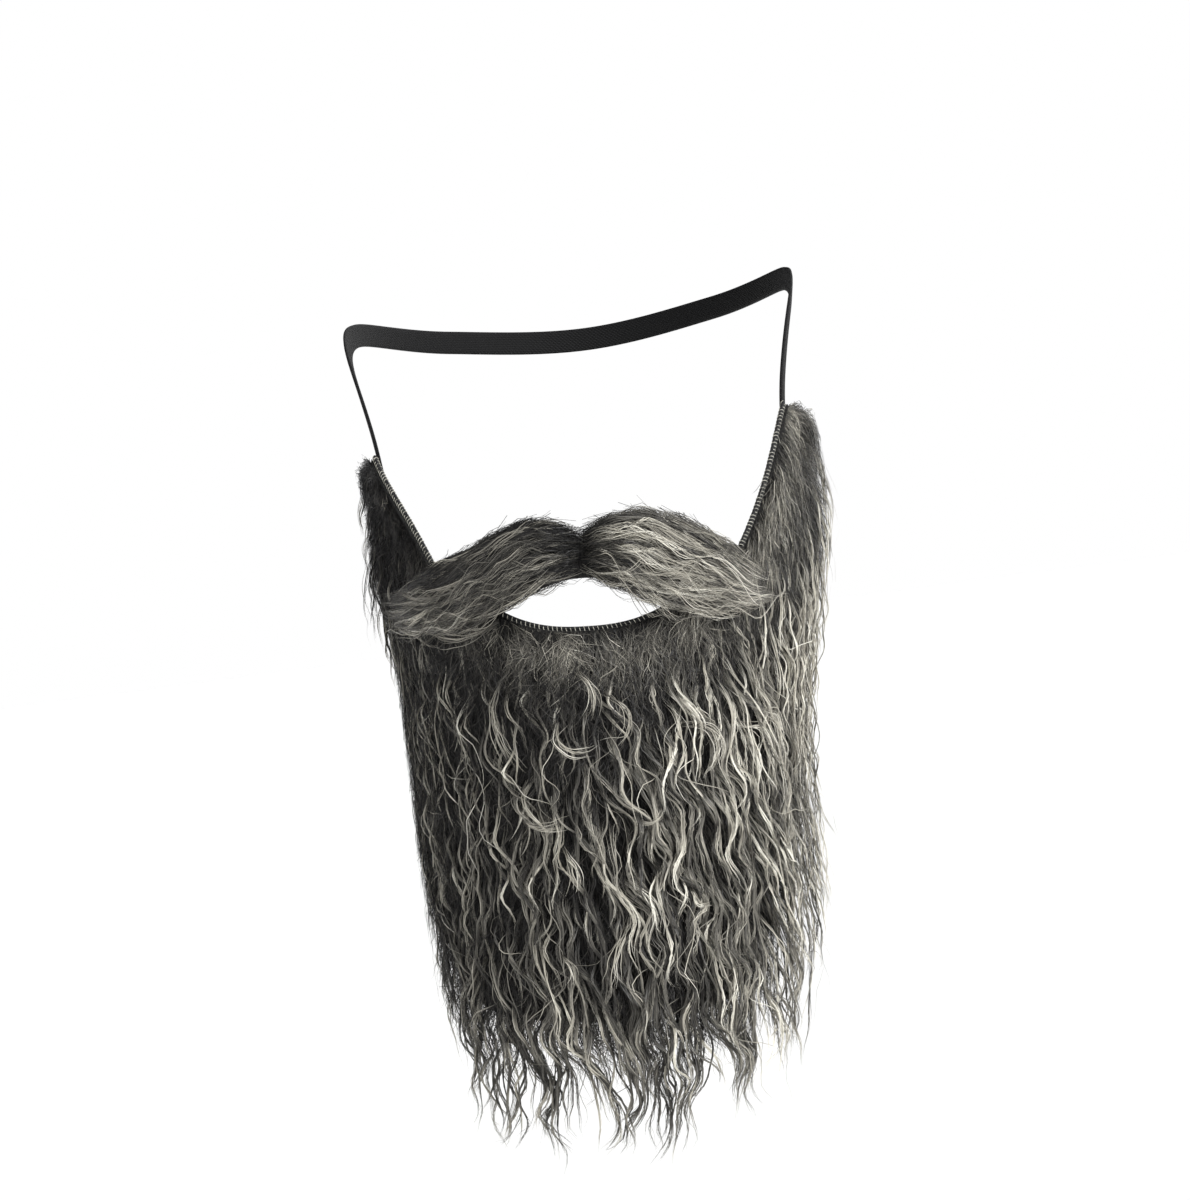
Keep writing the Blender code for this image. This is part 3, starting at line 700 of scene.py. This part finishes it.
def beard_locks(name, roots, tufts, hairs, rings, look):
    """Locks of hairs that keep to their lock's course, each with a little frizz of its own."""
    courses = lock_courses(roots, tufts, rings, look)
    turn, height, around, soft = lie(*roots[:2])
    locks, share, left = len(turn), np.linspace(0, 1, rings), np.sin(turn)
    own = np.repeat(np.arange(locks), hairs)
    count = len(own)
    run, aside, down, lift, heading, crown = cut_short(courses, own)

    angle = chance.uniform(0, 2 * np.pi, (count, 1))
    thick = look["radius"] * np.exp(np.clip(chance.normal(0, 0.5, locks), -0.8, 1.1))
    thick *= 1 + 1.6 * soft + 0.8 * np.clip(-height / LOW_SPAN, 0, 1)
    apart = np.sqrt(chance.random((count, 1))) * thick[own, None]
    drawn = 1.1 - 0.75 * share + 0.25 * np.clip(share - 0.85, 0, 1) / 0.15
    root = chance.normal(0, 0.0011, (2, count, 1)) * np.exp(-share * 6)
    loose = 0.00012 + 0.00045 * (chance.random((count, 1)) < 0.12)
    frizz = loose * sway(wave_set(count, FRIZZ_PERIODS), run)
    off = np.cos(angle) * apart * drawn + frizz
    aside += off * np.cos(heading) + root[0]
    lift += np.sin(angle) * apart * drawn * 0.8 + frizz * 0.5
    heights = height[own, None] - down + off * np.sin(heading) + root[1]
    turns = turn[own, None] + aside / around[own, None]
    points, outward = off_block(turns, heights, PILE_FLOOR + np.maximum(lift, 0.0006))

    tone = np.maximum(chance.normal(look["tone"][0], look["tone"][1], locks), 0.38)
    # Painted light and shade: locks are paler towards the wearer's left, where the key light falls,
    # and darker on the sideburn on the wearer's right, as painted shadow of the head.
    tone += look["painted_light_left"] * left + 0.28 * soft * np.minimum(left, 0)
    # Higher up the locks are paler and low down darker. Low down they are also painted paler on the
    # wearer's right, as painted light where the fill light falls short, and darker in the middle.
    tone += 0.09 * np.clip((height + 0.03) / 0.04, -1, 1)
    lower = np.clip(-height / 0.03, 0, 1)
    tone += (0.06 * np.clip(-left, 0, 1) - 0.06 * np.exp(-((turn / 0.45) ** 2))) * lower
    tone = tone[own] + chance.normal(0, 0.07, count)
    widths = look["width"] * chance.uniform(0.7, 1.3, count)
    # Painted highlight: hairs are paler where the lock stands out on a wave's crown.
    return ribbons(name, points, outward, widths, tone[:, None] + 0.09 * crown, 0.03)


GREY_LOOK = {
    "length": 0.048,
    "periods": ((0.022, 0.042), (0.011, 0.018)),
    "drape": 0.38,
    "swing": 0.20,
    "lean": 0.08,
    "gather": 0.25,
    "stand": (0.0040, 0.0105),
    "radius": 0.00034,
    "tone": (0.55, 0.12),
    "painted_light_left": 0.05,
    "width": 0.00025,
}
WHITE_LOOK = GREY_LOOK | {
    "length": 0.044,
    "drape": 0.42,
    "swing": 0.24,
    "gather": 0.10,
    "stand": (0.0060, 0.0120),
    "radius": 0.00025,
    "tone": (0.82, 0.08),
    "painted_light_left": 0.06,
}
STRAY_LOOK = GREY_LOOK | {
    "length": 0.045,
    "periods": ((0.024, 0.050), (0.012, 0.020)),
    "swing": 0.60,
    "lean": 0.30,
    "gather": 0.0,
    "stand": (0.0080, 0.0130),
    "radius": 0.00008,
    "tone": (0.66, 0.15),
    "width": 0.00022,
}

LOCKS, HEM_LOCKS, WHITE_BUNCHES, STRAYS = 980, 140, 230, 200
SIDE_ACROSS = 0.42
roots = scattered(LOCKS), edge_band(HEM_LOCKS, 0.8, 0, 0.15)
roots = tuple(np.concatenate(parts) for parts in zip(*roots))
outer = np.abs(roots[0]) > SIDE_ACROSS
for word, rule in (
    ("right_side", (roots[0] < 0) & outer),
    ("right_front", (roots[0] < 0) & ~outer),
    ("left_front", (roots[0] >= 0) & ~outer),
    ("left_side", (roots[0] >= 0) & outer),
):
    locks = beard_locks("grey_locks_" + word, chosen(roots, rule), 44, 9, 17, GREY_LOOK)
    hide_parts("beard_fur")

# White locks hang in bunches of three, more of them on the wearer's left.
roots = scattered(WHITE_BUNCHES)
turn, height = on_cut(roots[0], roots[1])
odds = 0.16 + 0.26 * np.clip(np.sin(turn) + 0.15, 0, 0.8)
bunches = (chance.random(WHITE_BUNCHES) < odds) & (height < 0.03)
white = np.repeat(np.array(chosen(roots, bunches)), 3, 1)
across, up = white[:2] + chance.normal(0, ((0.020,), (0.03,)), (2, white.shape[1]))
white = rooted_at(across, np.clip(up, 0.02, 0.98))
for locks in (
    beard_locks("white_locks", white, 60, 8, 18, WHITE_LOOK),
    beard_locks("stray_hairs", scattered(STRAYS), STRAYS, 1, 17, STRAY_LOOK),
):
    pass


# --- The moustache ---
# A strip of the same fur fabric above the lip edge, sewn to the beard at both ends. Its pile is
# parted in the middle, lies outwards in two wings and is whiter towards their ends.

STRIP_CUT = (0.11, 0.02)
SEAM_GAP = 0.0006
PARTING_SPREAD = 0.68
WING_HALF_SPANS = (0.0700, 0.0590)
WING_REACHES = (0.03, 0.14, 0.25, 0.39, 0.58, 0.79, 0.90, 1.00)
RIGHT_WING_LOWS = (0.67, 0.63, 0.59, 0.51, 0.42, 0.37, 0.37, 0.41)
RIGHT_WING_HIGHS = (0.91, 0.98, 0.99, 0.92, 0.80, 0.70, 0.65, 0.62)
LEFT_WING_LOWS = (0.66, 0.62, 0.58, 0.50, 0.44, 0.42, 0.41, 0.43)
LEFT_WING_HIGHS = (0.90, 0.97, 1.00, 1.00, 0.92, 0.79, 0.69, 0.60)


def on_strip(across, up):
    """Turn and height on the moustache's strip, which keeps clear of the seams."""
    low_turn, low = seam(0.0, SEAM_GAP)
    high_turn, high = seam(1.0, SEAM_GAP)
    bottom = low + (UPPER_LIP_HEIGHT - low) * (1 - np.abs(across) ** 2) ** 0.8
    shoulder = 0.45 * PEAK_HEIGHT + 0.55 * high
    tops = (NOTCH_HEIGHT, PEAK_HEIGHT, shoulder, high)
    top = through((0.0, 0.30, 0.62, 1.0), tops, np.abs(across))
    return (low_turn + (high_turn - low_turn) * up) * across, bottom + (top - bottom) * up


def strip_bed(across, up, layer):
    turn, height = on_strip(across, up)
    rise = edge_rise(1 - up, 0.3) * edge_rise(up, 0.3) * edge_rise(1 - np.abs(across), 0.1)
    depth = 0.0005 + 0.0014 * rise * (1 + 0.3 * lumps(across, up, 21, 9))
    return off_block(turn, height, PILE_FLOOR + layer * depth)[0]


wall = bent_cloth(56, 12, fabric_on(on_strip), *STRIP_CUT)
strip = placed(wall, "knitted_moustache_backing", knit)
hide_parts("moustache_backing")
strip_wool = placed(bent_cloth(72, 18, strip_bed, *STRIP_CUT), "wool_bed_of_moustache", wool)


def wing_locks(name, locks, hairs, rings, look):
    """Locks that leave the strip near the parting and sweep out to the side."""
    side = np.where(np.arange(locks) % 2, 1.0, -1.0)
    span = np.where(side < 0, *WING_HALF_SPANS)[:, None]
    start = PARTING_SPREAD * chance.random(locks) ** 1.25
    end = start + chance.uniform(*look["reach"], locks)
    end = np.minimum(end, chance.uniform(0.74, look["furthest"], locks))
    band = chance.uniform(-0.02, look["highest"], locks)
    last_band = np.clip(band * 0.9 + chance.normal(-0.02, look["cross"], locks), -0.06, 1.04)
    share = np.linspace(0, 1, rings)[None, :]
    reach = start[:, None] + (end - start)[:, None] * share
    run = (end - start)[:, None] * span * share
    up = band[:, None] + (last_band - band)[:, None] * share**1.3
    low, high = (
        np.where(side[:, None] < 0, *(through(WING_REACHES, edge, reach) for edge in edges))
        for edges in ((RIGHT_WING_LOWS, LEFT_WING_LOWS), (RIGHT_WING_HIGHS, LEFT_WING_HIGHS))
    )
    waves = wave_set(locks, ((0.020, 0.040), (0.010, 0.016)))
    height = PEAK_HEIGHT * (low + (high - low) * up)
    height = height + look["swing"] * (sway(waves, run) - sway(waves, run[:, :1]))
    stand = chance.uniform(*look["stand"], (locks, 1)) * (0.55 + 0.45 * edge_rise(
        np.minimum(band, 1 - band), 0.4
    ))[:, None]
    lift = stand * np.minimum(share * 3.2, 1) ** 0.8 * (1 + 0.15 * np.sin(np.pi * share))
    own = np.repeat(np.arange(locks), hairs)
    count = len(own)
    angle = chance.uniform(0, 2 * np.pi, (count, 1))
    apart = np.sqrt(chance.random((count, 1))) * look["radius"]
    drawn = 1.2 - 0.8 * share + 0.4 * np.clip(share - 0.8, 0, 1) / 0.2
    root = chance.normal(0, 0.0014, (2, count, 1)) * np.exp(-share * 5)
    loose = 0.00018 + 0.00050 * (chance.random((count, 1)) < 0.15)
    frizz = loose * sway(wave_set(count, FRIZZ_PERIODS), run[own])
    height = height[own] + np.cos(angle) * apart * drawn + root[0] + frizz
    lift = lift[own] + np.sin(angle) * apart * drawn * 0.8
    cut_back = chance.uniform(0.8, 1.0, (count, 1))
    out = (start[own][:, None] + (reach[own] - start[own][:, None]) * cut_back) * span[own]
    lift = PILE_FLOOR + np.maximum(lift, 0.0006)
    turns = turn_at(out + root[1], height, lift) * side[own][:, None]
    points, outward = off_block(turns, height, lift)
    tone = look["tone"][0] + look["tone"][1] * chance.normal(0, 1, locks)
    # Painted light: the wing on the wearer's left, where the key light falls, is made paler.
    tone = tone + 0.22 * (start - 0.3) - 0.04 * (band - 0.5) + 0.08 * side - 0.05
    tone = tone[own] + chance.normal(0, 0.11, count)
    widths = look["width"] * chance.uniform(0.7, 1.3, count)
    return ribbons(name, points, outward, widths, tone, 0.02)


WING_WOOL = {
    "reach": (0.12, 0.24),
    "furthest": 1.05,
    "highest": 1.02,
    "cross": 0.16,
    "swing": 0.0007,
    "stand": (0.0015, 0.0065),
    "radius": 0.0009,
    "tone": (0.21, 0.08),
    "width": 0.00018,
}
WING_GREY = WING_WOOL | {
    "reach": (0.34, 0.62),
    "cross": 0.09,
    "stand": (0.0030, 0.0095),
    "tone": (0.40, 0.15),
    "width": 0.00015,
}
WING_WHITE = WING_GREY | {
    "swing": 0.0010,
    "stand": (0.0070, 0.0105),
    "radius": 0.0004,
    "tone": (0.76, 0.08),
    "width": 0.00016,
}
WING_STRAYS = WING_GREY | {
    "reach": (0.30, 0.60),
    "furthest": 1.14,
    "highest": 0.6,
    "cross": 0.25,
    "swing": 0.0022,
    "stand": (0.0080, 0.0125),
    "radius": 0.0002,
    "tone": (0.58, 0.10),
}
for locks, replaced in (
    (wing_locks("moustache_wool_hairs", 1700, 2, 6, WING_WOOL), ()),
    (wing_locks("moustache_grey_locks", 1000, 9, 10, WING_GREY), ("moustache_fur",)),
    (wing_locks("moustache_white_locks", 130, 6, 12, WING_WHITE), ()),
    (wing_locks("moustache_stray_hairs", 190, 2, 14, WING_STRAYS), ()),
):
    if replaced:
        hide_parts(*replaced)


# --- The curls ---
# Here and there a lock has sprung out of its waves. It lies over the others, on the beard or at a
# wing's end, and bends from a first heading to a last one, in degrees from straight down towards
# the wearer's left.

# Each row holds metres aside, height, length, first and last heading, tone and thickness.
CURLS = (
    (-0.011, -0.014, 0.020, 0, 120, 0.85, 0.0007),
    (0.005, -0.005, 0.022, 55, -50, 0.80, 0.0009),
    (-0.004, 0.003, 0.019, 50, -25, 0.72, 0.0007),
    (0.030, -0.017, 0.026, 85, -40, 0.85, 0.0010),
    (0.024, -0.021, 0.010, -10, 25, 0.80, 0.0006),
    (0.047, -0.020, 0.034, 100, -10, 0.88, 0.0012),
    (0.056, -0.015, 0.020, 80, 5, 0.85, 0.0012),
    (-0.025, -0.044, 0.019, 60, 105, 0.75, 0.0003),
    (0.008, -0.067, 0.023, 60, -15, 0.96, 0.0011),
    (0.012, -0.046, 0.011, 55, 150, 0.80, 0.0005),
    (-0.030, 0.000, 0.034, -5, 40, 0.85, 0.0004),
    (-0.012, -0.054, 0.018, 45, -15, 0.78, 0.0004),
    (0.009, -0.078, 0.026, -30, -5, 0.90, 0.0012),
    (0.063, -0.087, 0.020, 75, -60, 0.80, 0.0005),
    (0.051, -0.103, 0.018, 40, 100, 0.70, 0.0004),
    (-0.015, -0.089, 0.014, 70, -30, 0.75, 0.0005),
    (0.052, -0.054, 0.026, -5, 120, 0.82, 0.0006),
    (0.030, -0.069, 0.012, -20, 110, 0.80, 0.0004),
    (0.035, -0.079, 0.030, -10, 95, 0.75, 0.0006),
    (-0.046, 0.028, 0.020, -62, -75, 0.80, 0.0003),
    (-0.029, 0.020, 0.028, -60, -125, 0.62, 0.0007),
    (-0.043, 0.030, 0.022, -80, -105, 0.55, 0.0008),
    (-0.050, 0.018, 0.017, -40, 20, 0.60, 0.0008),
)
CURL_STAND = 0.0118
CURL_WIDTHS = (0.00018, 0.00026)


def curls(name, hairs, rings):
    """The table's curls, each of hairs that bend a little more or less than it does."""
    aside, height, length, first, last, tone, thick = np.array(CURLS).T[..., None]
    share = np.linspace(0, 1, rings)
    own = np.repeat(np.arange(len(CURLS)), hairs)
    count = len(own)
    run = length[own] * chance.uniform(0.75, 1.0, (count, 1)) * share
    bend = (1 - np.cos(np.pi * run / length[own])) / 2
    bend = bend * chance.uniform(0.85, 1.15, (count, 1))
    turned = np.radians(first[own] + (last - first)[own] * bend)
    heading = turned + chance.normal(0, 0.10, (count, 1))
    off_aside, down = followed(heading, run)
    angle = chance.uniform(0, 2 * np.pi, (count, 1))
    apart = np.sqrt(chance.random((count, 1))) * thick[own] * (1.2 - 0.4 * share)
    frizz = 0.00025 * sway(wave_set(count, FRIZZ_PERIODS), run)
    off = np.cos(angle) * apart + frizz
    heights = height[own] - down + off * np.sin(turned)
    turns = turn_at(aside[own], height[own], CURL_STAND)
    around = turn_length(turns, heights) + CURL_STAND
    turns = turns + (off_aside + off * np.cos(turned)) / around
    on_wing = height[own] > LIP_EDGE_HEIGHT
    stand = CURL_STAND * np.where(on_wing, 1.1, (fullness(turns) - 0.10) / 0.90)
    lift = stand * (0.45 + 0.55 * np.minimum(share / 0.3, 1)) + np.sin(angle) * apart * 0.8
    points, outward = off_block(turns, heights, PILE_FLOOR + lift)
    tones = tone[own] - 0.04 + chance.normal(0, 0.11, (count, 1))
    return ribbons(name, points, outward, chance.uniform(*CURL_WIDTHS, count), tones, 0.03)


curls("sprung_curls", 9, 22)


# --- The overlocked edges ---
# The cheek edges and the lip edge are overlocked, so that the knit doesn't run: a black roll of
# thread along the cut, bound by a paler thread that goes round it and into the fabric.

EDGE_ROLL = 0.0013
BINDING = 0.00022
BINDING_PITCH = 0.0016
BINDING_REACH = 0.0009
BINDING_POINTS = 12


def threads(name, paths, diameter, material, sides=1):
    """Threads through lists of points, made as one mesh."""
    curve = bpy.data.curves.new(name, "CURVE")
    curve.dimensions = "3D"
    curve.bevel_depth = diameter / 2
    curve.bevel_resolution = sides
    curve.use_fill_caps = True
    for path in paths:
        spline = curve.splines.new("POLY")
        spline.points.add(len(path) - 1)
        spline.points.foreach_set("co", np.pad(path, ((0, 0), (0, 1))).ravel())
    drawn = bpy.data.objects.new(name, curve)
    bm = bmesh.new()
    bm.from_mesh(drawn.to_mesh())
    bpy.data.objects.remove(drawn)
    bpy.data.curves.remove(curve)
    return placed(bm, name, material)


def edge_frame(first, last, count):
    """Points along the inner edge, with the directions away from the fabric and out of it."""
    along = np.linspace(first, last, count)
    turn, height = on_cut(along, np.ones(count))
    points, outward = off_block(turn, height, FABRIC / 2)
    return points, unit(np.cross(outward, np.gradient(points, axis=0))), outward


# Spun polyester thread: two plies twisted, matt, with short fibres that catch the light.
thread_finishes = []
for name, dark, pale in (
    ("black_polyester_thread", "#070708", "#1d1d1f"),
    ("grey_polyester_thread", "#a19e93", "#f0eddf"),
):
    thread, tree, surface = shaded(name, {"Roughness": 0.75})
    at = add(tree, "TexCoord")["Object"]
    plies = add(tree, "TexNoise", {"Vector": at, "Scale": 2200.0, "Detail": 2.0})["Fac"]
    shade = add(tree, "MapRange", {"Value": plies, "From Min": 0.35, "From Max": 0.65})[0]
    coloured(tree, surface, shade, dark, pale)
    embossed(tree, surface, plies, 0.5, 0.0001)
    thread_finishes.append(thread)
black_thread, grey_thread = thread_finishes

for name, first, last in (
    ("lip_edging", -OPENING_ALONG, OPENING_ALONG),
    ("cheek_edging_left", CHEEK_ALONG, 1.0),
    ("cheek_edging_right", -1.0, -CHEEK_ALONG),
):
    points, away, outward = edge_frame(first, last, 120)
    centre = points + away * EDGE_ROLL * 0.5
    roll = threads("roll_of_" + name, [centre], EDGE_ROLL, black_thread, 2)
    length = np.linalg.norm(np.diff(points, axis=0), axis=-1).sum()
    turns = round(length / BINDING_PITCH)
    points, away, outward = edge_frame(first, last, turns * BINDING_POINTS)
    round_it = np.linspace(0, 2 * np.pi * turns, turns * BINDING_POINTS)[:, None]
    uneven = 1 + 0.25 * np.sin(round_it / 3.7) * np.sin(round_it / 9.1 + 1)
    wide = BINDING_REACH * uneven * np.cos(round_it)
    high = (EDGE_ROLL / 2 + 0.00025) * np.sin(round_it)
    binding = points + away * (0.0003 + wide) + outward * high
    binding = threads("binding_of_" + name, [binding], BINDING, grey_thread, 1)
    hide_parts(name)


# --- The head elastic ---
# One black braided elastic, 8 mm wide, from sideburn to sideburn round the back. Its ends lie
# under the fabric and are held by bar tacks.

ELASTIC_WIDTH = 0.008
ELASTIC = 0.0012
SEWN_LENGTH = 0.014
GAP_UNDER_FABRIC = 0.0003
TACK_THREAD, TACK_POINTS = 0.0003, 17
HEM_THREAD, HEM_STITCHES = 0.00035, 92
WHIP_STITCHES = 11
ELASTIC_TURNS = (80, 81, 88, 106, 142, 180, 218)
ELASTIC_RISES = (0.0, 0.45, 0.82, 1.0, 0.93, 0.86, 0.93)


def elastic_path(share):
    """Turn and height of the elastic's middle, share 0 at its sewn end and 1 half-way round."""
    shares = [i / 5 for i in range(7)]
    start = SIDEBURN_HEIGHT - SEWN_LENGTH
    rise = through(shares, ELASTIC_RISES, share)
    turn = np.radians(through(shares, ELASTIC_TURNS, share))
    return turn, start + rise * (TEMPLE_HEIGHT - start)


def on_elastic(across, up, depth):
    """Points on the elastic: across from -1 to 1 along it, up from 0 to 1 over its width."""
    side, share = np.where(across < 0, -1.0, 1.0), 1 - np.abs(across)
    (turn, height), ahead = elastic_path(share), elastic_path(share + 0.004)
    course = block(side * ahead[0], ahead[1]) - block(side * turn, height)
    points, outward = off_block(side * turn, height, -(GAP_UNDER_FABRIC + depth))
    wide = np.cross(outward, course)
    wide *= side[..., None] / np.linalg.norm(wide, axis=-1, keepdims=True)
    return points + wide * ((up - 0.5) * ELASTIC_WIDTH)[..., None]


def elastic_wall(across, up, layer):
    pinched = 1 - 0.45 * (2 * np.abs(up - 0.5)) ** 6
    return on_elastic(across, up, ELASTIC * (0.5 + (layer - 0.5) * pinched))


# Braided polyester elastic: matt black, with ribs along it over rubber cores 1 mm apart.
braid, tree, surface = shaded(
    "braided_polyester_elastic", {"Roughness": 0.7, "Specular IOR Level": 0.25}
)
CORE = 0.001
PLAIT = 0.0009
woven = ribbed(tree, PLAIT, CORE, (("Y", {}), ("DIAGONAL", {"Distortion": 0.6})))[1]
coloured(tree, surface, woven, "#050506", "#19191b")
embossed(tree, surface, woven, 0.8, 0.0003)

wall = bent_cloth(260, 10, elastic_wall, 0.42, ELASTIC_WIDTH)
elastic = placed(wall, "head_elastic_braid", braid)
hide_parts("head_elastic")

# Bar tacks: close zigzags of black thread over the elastic's ends.
tacks = []
for side in (-1, 1):
    for share in (0.012, 0.030, 0.048):
        up = np.tile((0.06, 0.94), TACK_POINTS)[:TACK_POINTS]
        across = side * (1 - (share + np.linspace(-0.003, 0.003, TACK_POINTS)))
        tacks.append(on_elastic(across, up, np.full(TACK_POINTS, ELASTIC + 0.0001)))

# The bib's hem is run over once with the same thread, 4 mm in from the cut.
stitches = []
for across in np.linspace(-0.9, 0.9, HEM_STITCHES * 3).reshape(HEM_STITCHES, 3):
    turn, height = on_cut(across, np.full(3, 0.035))
    stitches.append(off_block(turn, height, np.array((0.0001, -0.00025, 0.0001)))[0])

# The moustache's strip is held to the beard by whip stitches over the seams.
whips = []
for side in (-1, 1):
    share = np.repeat(np.linspace(0.06, 0.94, WHIP_STITCHES), 2)
    turn, height = seam(share, np.tile((-0.0012, 0.0016), WHIP_STITCHES))
    whips.append(off_block(side * turn, height, np.full_like(share, -0.0001))[0])

for name, paths, diameter in (
    ("elastic_bar_tacks", tacks, TACK_THREAD),
    ("hem_running_stitches", stitches, HEM_THREAD),
    ("moustache_whip_stitches", whips, TACK_THREAD),
):
    threads(name, paths, diameter, black_thread)


# --- The stage ---
# A plain pale floor that runs into an even, pale surround. A large soft key stands in front, high
# on the picture's right, with weak ones on the other side, behind and above.

FLOOR_HALF_SIZE = 60
FLOOR_HEIGHT = -0.30

floor_paint, tree, surface = shaded(
    "matt_floor_paint",
    {"Base Color": linear("#fdfdfc"), "Roughness": 1.0, "Specular IOR Level": 0.0},
)
grain = add(tree, "TexNoise", {"Scale": 900.0, "Detail": 2.0})["Fac"]
embossed(tree, surface, grain, 0.05, 0.0005)
bm = bmesh.new()
bmesh.ops.create_grid(bm, x_segments=1, y_segments=1, size=FLOOR_HALF_SIZE)
bmesh.ops.translate(bm, verts=bm.verts, vec=(0, 0, FLOOR_HEIGHT))
floor = linked("floor", mesh_of(bm, "floor"))
floor.data.materials.append(floor_paint)

surround = bpy.data.worlds.new("studio")
surround.use_nodes = True
tree = surround.node_tree
seen = add(tree, "Background", {"Color": linear("#ffffff"), "Strength": 1.0})
dim = add(tree, "Background", {"Color": linear("#ebebee"), "Strength": 0.13})
straight = add(tree, "LightPath")["Is Camera Ray"]
both = add(tree, "MixShader", {0: straight, 1: dim[0], 2: seen[0]})
tree.links.new(both[0], tree.nodes["World Output"].inputs["Surface"])
bpy.context.scene.world = surround
bpy.context.scene.view_settings.view_transform = "Standard"

for name, angle, strength, place in (
    ("key_light", 25, 3.7, (1.5, -1.25, 1.25)),
    ("fill_light", 60, 0.60, (-1.6, -1.2, 0.5)),
    ("back_light", 60, 0.9, (0.9, 1.5, 0.9)),
    ("top_light", 60, 0.45, (0.2, 0.1, 2.0)),
):
    light = bpy.data.lights.new(name, "SUN")
    light.angle, light.energy = math.radians(angle), strength
    lamp = linked(name, light)
    lamp.location = place
    lamp.rotation_euler = (-Vector(place)).to_track_quat("-Z", "Y").to_euler()
